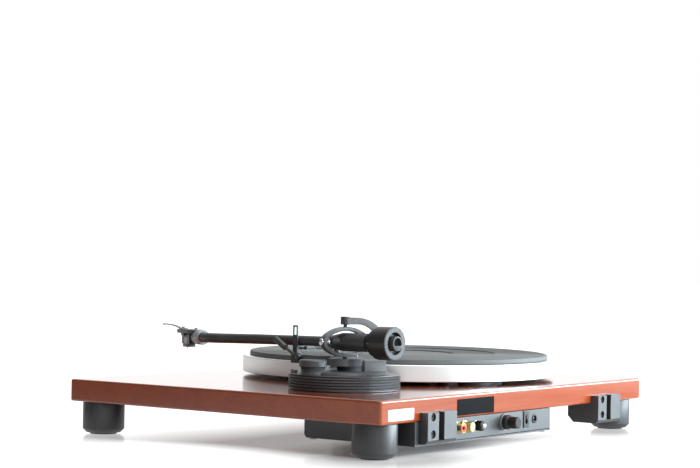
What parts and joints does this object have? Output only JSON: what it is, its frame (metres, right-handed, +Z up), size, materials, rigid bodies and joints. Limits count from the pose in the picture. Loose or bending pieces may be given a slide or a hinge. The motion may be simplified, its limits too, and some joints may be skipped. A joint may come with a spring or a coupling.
{
  "type": "belt-drive turntable",
  "caption": "Manual belt-drive record player: lacquered wood plinth on round feet, aluminium platter with ribbed mat, and an S-shaped tonearm with counterweight and height ring.",
  "frame": {"origin": "on the floor under the middle of the whole outline, feet at z = 0", "axes": "+X to the right as seen from the front, +Y to the rear panel, +Z up"},
  "size_m": [0.447, 0.362, 0.1126],
  "materials": {
    "lacquered_board": "clear gloss lacquer over red-brown grain",
    "foot_plastic": "satin",
    "pad_rubber": "matte",
    "screw_steel": "plain",
    "bearing_brass": "turned",
    "shaft_steel": "polished",
    "platter_metal": "turned and satin",
    "mat_rubber": "matte",
    "motor_metal": "plated",
    "belt_rubber": "matte",
    "tray_plastic": "fine texture",
    "board_green": "solder mask",
    "part_plastic": "plain",
    "jack_gold": "bright plating",
    "insert_red": "gloss",
    "insert_white": "gloss",
    "knob_plastic": "satin",
    "knob_metal": "satin",
    "ring_metal": "knurled, black",
    "base_metal": "satin black",
    "gimbal_metal": "satin grey",
    "arm_metal": "satin dark grey",
    "stub_metal": "satin",
    "weight_metal": "painted satin black",
    "dial_plastic": "satin",
    "head_metal": "painted dark",
    "lift_metal": "satin",
    "cartridge_plastic": "satin",
    "stylus_plastic": "satin"
  },
  "bodies": {
    "base": {"plinth": "lacquered_board", "feet": "foot_plastic", "foot_pads": "pad_rubber", "foot_screws": "screw_steel", "bearing_housing": "bearing_brass", "bearing_screws": "screw_steel", "thrust_ball": "shaft_steel", "motor_body": "motor_metal", "motor_plate": "motor_metal", "motor_grommets": "belt_rubber", "motor_screws": "screw_steel", "drive_belt": "belt_rubber", "tray": "tray_plastic", "tray_cover": "tray_plastic", "tray_screws": "screw_steel", "circuit_board": "board_green", "jack_block": "part_plastic", "jack_shells": "jack_gold", "jack_insert_right": "insert_red", "jack_insert_left": "insert_white", "ground_terminal": "shaft_steel", "selector_switch": "part_plastic", "power_switch": "part_plastic", "power_inlet": "part_plastic", "socket_left": "tray_plastic", "socket_right": "tray_plastic", "socket_screws": "screw_steel", "speed_switch": "part_plastic", "arm_mount": "base_metal", "arm_mount_screws": "screw_steel"},
    "platter": {"platter": "platter_metal", "mat": "mat_rubber", "spindle": "shaft_steel"},
    "motor_pulley": {"motor_pulley": "bearing_brass"},
    "speed_knob": {"speed_knob": "knob_metal"},
    "selector_knob": {"selector_knob": "knob_plastic"},
    "power_button": {"power_button": "knob_plastic"},
    "ground_nut": {"ground_nut": "knob_plastic"},
    "height_ring": {"height_ring": "ring_metal"},
    "arm_base": {"arm_base": "base_metal", "gimbal_arch": "gimbal_metal", "top_pivot": "base_metal", "arm_rest": "base_metal"},
    "antiskate_dial": {"antiskate_dial": "base_metal"},
    "cue_lever": {"cue_lever": "base_metal"},
    "lift_bar": {"lift_bar": "gimbal_metal"},
    "gimbal": {"gimbal_hoop": "gimbal_metal", "tilt_pins": "shaft_steel"},
    "arm": {"arm_housing": "arm_metal", "arm_tube": "arm_metal", "rear_stub": "stub_metal", "headshell": "head_metal", "finger_lift": "lift_metal", "cartridge": "cartridge_plastic", "stylus": "stylus_plastic", "cartridge_screws": "screw_steel"},
    "lock_collar": {"lock_collar": "arm_metal"},
    "weight_sleeve": {"weight_sleeve": "dial_plastic"},
    "counterweight": {"counterweight": "weight_metal"},
    "force_dial": {"force_dial": "dial_plastic"}
  },
  "joints": [
    {"name": "platter_spin", "type": "hinge", "parent": "base", "child": "platter", "pos_m": [-0.0575, -0.0123, 0.06], "axis": [0, 0, -1], "continuous": true},
    {"name": "pulley_spin", "type": "hinge", "parent": "base", "child": "motor_pulley", "pos_m": [-0.01817, 0.09577, 0.055], "axis": [0, 0, -1], "continuous": true},
    {"name": "speed_turn", "type": "hinge", "parent": "base", "child": "speed_knob", "pos_m": [-0.165, -0.1575, 0.0545], "axis": [0, 0, -1], "range_deg": [-40, 40]},
    {"name": "selector_turn", "type": "hinge", "parent": "base", "child": "selector_knob", "pos_m": [0.0345, 0.174, 0.0215], "axis": [0, 1, 0], "range_deg": [0, 60]},
    {"name": "power_slide", "type": "slide", "parent": "base", "child": "power_button", "axis": [0, 0, -1], "range_m": [0, 0.0038]},
    {"name": "ground_turn", "type": "hinge", "parent": "base", "child": "ground_nut", "pos_m": [0.0835, 0.171, 0.0215], "axis": [0, 1, 0], "range_deg": [0, 270]},
    {"name": "height_turn", "type": "hinge", "parent": "base", "child": "height_ring", "pos_m": [0.134, 0.0635, 0.0575], "axis": [0, 0, -1], "range_deg": [0, 60]},
    {"name": "base_lift", "type": "slide", "parent": "base", "child": "arm_base", "axis": [0, 0, 1], "range_m": [0, 0.006]},
    {"name": "skate_turn", "type": "hinge", "parent": "arm_base", "child": "antiskate_dial", "pos_m": [0.17032, 0.05644, 0.0727], "axis": [0, 0, -1], "range_deg": [0, 270]},
    {"name": "cue_turn", "type": "hinge", "parent": "arm_base", "child": "cue_lever", "pos_m": [0.14213, 0.01772, 0.0758], "axis": [0.9969, -0.0785, 0], "range_deg": [0, 50]},
    {"name": "lift_slide", "type": "slide", "parent": "arm_base", "child": "lift_bar", "axis": [0, 0, -1], "range_m": [0, 0.005]},
    {"name": "arm_yaw", "type": "hinge", "parent": "arm_base", "child": "gimbal", "pos_m": [0.134, 0.0635, 0.0904], "axis": [0, 0, -1], "range_deg": [0, 44]},
    {"name": "arm_tilt", "type": "hinge", "parent": "gimbal", "child": "arm", "pos_m": [0.134, 0.0635, 0.0904], "axis": [-0.8949, 0.4462, 0], "range_deg": [0, 8]},
    {"name": "collar_turn", "type": "hinge", "parent": "arm", "child": "lock_collar", "pos_m": [0.12266, -0.1114, 0.08765], "axis": [-0.5075, -0.8615, -0.0141], "range_deg": [0, 35]},
    {"name": "weight_slide", "type": "slide", "parent": "arm", "child": "weight_sleeve", "axis": [0.0784, 0.9968, 0.0157], "range_m": [-0.003, 0.003]},
    {"name": "weight_turn", "type": "hinge", "parent": "weight_sleeve", "child": "counterweight", "pos_m": [0.13769, 0.11035, 0.09114], "axis": [0.0784, 0.9968, 0.0157], "range_deg": [-540, 540]},
    {"name": "dial_turn", "type": "hinge", "parent": "counterweight", "child": "force_dial", "pos_m": [0.13769, 0.11035, 0.09114], "axis": [0.0784, 0.9968, 0.0157], "continuous": true}
  ],
  "couplings": [
    {"joint": "pulley_spin", "follows": "platter_spin", "ratio": 12.039},
    {"joint": "base_lift", "follows": "height_turn", "m_per_rad": 0.005729},
    {"joint": "lift_slide", "follows": "cue_turn", "m_per_rad": 0.005729},
    {"joint": "weight_slide", "follows": "weight_turn", "m_per_rad": 0.0003183}
  ]
}
